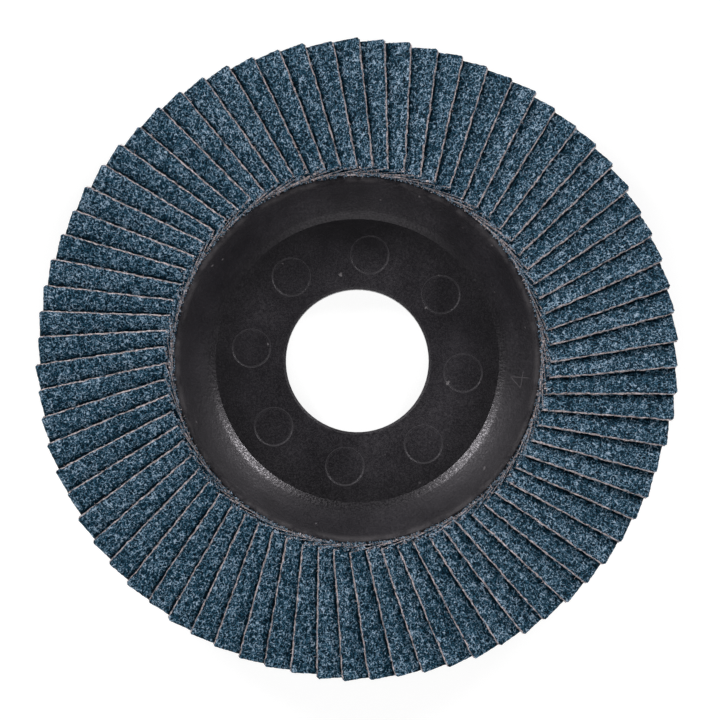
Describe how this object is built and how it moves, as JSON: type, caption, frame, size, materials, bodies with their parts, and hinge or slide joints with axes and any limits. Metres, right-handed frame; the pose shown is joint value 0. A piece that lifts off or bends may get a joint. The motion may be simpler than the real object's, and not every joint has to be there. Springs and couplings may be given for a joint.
{
  "type": "flap disc",
  "caption": "Round abrasive flap disc for an angle grinder: a dished plastic backing plate with a plain arbor bore, carrying a ring of overlapping coated-cloth flaps.",
  "frame": {"origin": "centre of the bore at the hub's back face, which the disc rests on", "axes": "+Z along the disc's axis, out of the abrasive side; +X to the right and +Y up in the picture"},
  "size_m": [0.0998, 0.0998, 0.0147],
  "materials": {
    "plate_plastic": "satin, moulded",
    "adhesive": "cured resin, semi-gloss",
    "coated_cloth": "resin-bonded grain on cloth"
  },
  "bodies": {
    "root": {"backing_plate": "plate_plastic", "adhesive_bed": "adhesive", "flaps_01": "coated_cloth", "flaps_02": "coated_cloth", "flaps_03": "coated_cloth", "flaps_04": "coated_cloth", "flaps_05": "coated_cloth", "flaps_06": "coated_cloth", "flaps_07": "coated_cloth", "flaps_08": "coated_cloth", "flaps_09": "coated_cloth", "flaps_10": "coated_cloth", "flaps_11": "coated_cloth", "flaps_12": "coated_cloth", "flaps_13": "coated_cloth", "flaps_14": "coated_cloth", "flaps_15": "coated_cloth", "flaps_16": "coated_cloth", "flaps_17": "coated_cloth", "flaps_18": "coated_cloth", "flaps_19": "coated_cloth", "flaps_20": "coated_cloth", "flaps_21": "coated_cloth", "flaps_22": "coated_cloth", "flaps_23": "coated_cloth", "flaps_24": "coated_cloth", "flaps_25": "coated_cloth"}
  },
  "joints": []
}
